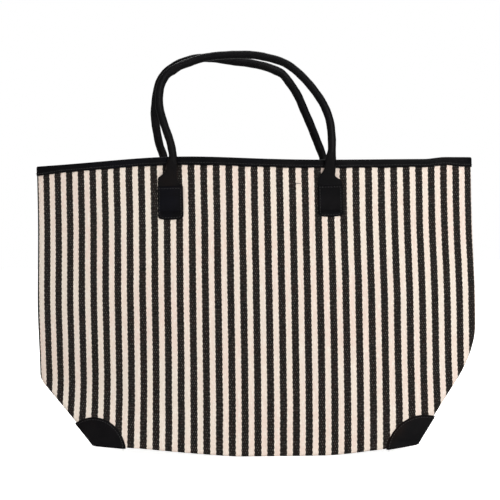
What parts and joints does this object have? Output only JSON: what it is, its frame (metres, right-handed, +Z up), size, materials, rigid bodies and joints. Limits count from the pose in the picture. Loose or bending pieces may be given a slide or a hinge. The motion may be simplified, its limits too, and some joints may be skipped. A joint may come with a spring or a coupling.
{
  "type": "canvas tote bag",
  "caption": "Boxed-base striped canvas tote bag with bound rim, leather corner guards and rolled carrying handles that fold outwards.",
  "frame": {"origin": "on the floor under the middle of the base", "axes": "+X along the bag's width to the right seen from the front, +Y towards the back wall, +Z up"},
  "size_m": [0.5628, 0.166, 0.506],
  "materials": {
    "canvas": "coarse ribbed weave in black and cream stripes",
    "lining": "plain cotton",
    "leather": "black, satin, fine grain",
    "backing": "brown, matt suede side",
    "filler": "twisted cotton cord",
    "stiffener": "thin flexible sheet",
    "thread": "waxed thread"
  },
  "bodies": {
    "bag": {"front_panel": "canvas", "back_panel": "canvas", "base_panel": "canvas", "front_lining": "lining", "back_lining": "lining", "base_lining": "lining", "base_stiffener": "stiffener", "rim_binding": "leather", "corner_guard_front_left": "leather", "corner_guard_front_right": "leather", "corner_guard_back_left": "leather", "corner_guard_back_right": "leather", "front_handle_tab_left": "leather", "front_handle_tab_right": "leather", "front_handle_patch_left": "leather", "front_handle_patch_right": "leather", "front_handle_backing_left": "backing", "front_handle_backing_right": "backing", "back_handle_tab_left": "leather", "back_handle_tab_right": "leather", "back_handle_patch_left": "leather", "back_handle_patch_right": "leather", "back_handle_backing_left": "backing", "back_handle_backing_right": "backing"},
    "front_handle": {"front_handle_cover": "leather", "front_handle_filler": "filler"},
    "back_handle": {"back_handle_cover": "leather", "back_handle_filler": "filler"}
  },
  "joints": [
    {"name": "front_handle_fold", "type": "hinge", "parent": "bag", "child": "front_handle", "pos_m": [0, -0.042, 0.3355], "axis": [1, 0, 0], "range_deg": [0, 160]},
    {"name": "back_handle_fold", "type": "hinge", "parent": "bag", "child": "back_handle", "pos_m": [0, 0.042, 0.3355], "axis": [-1, 0, 0], "range_deg": [0, 160]}
  ]
}
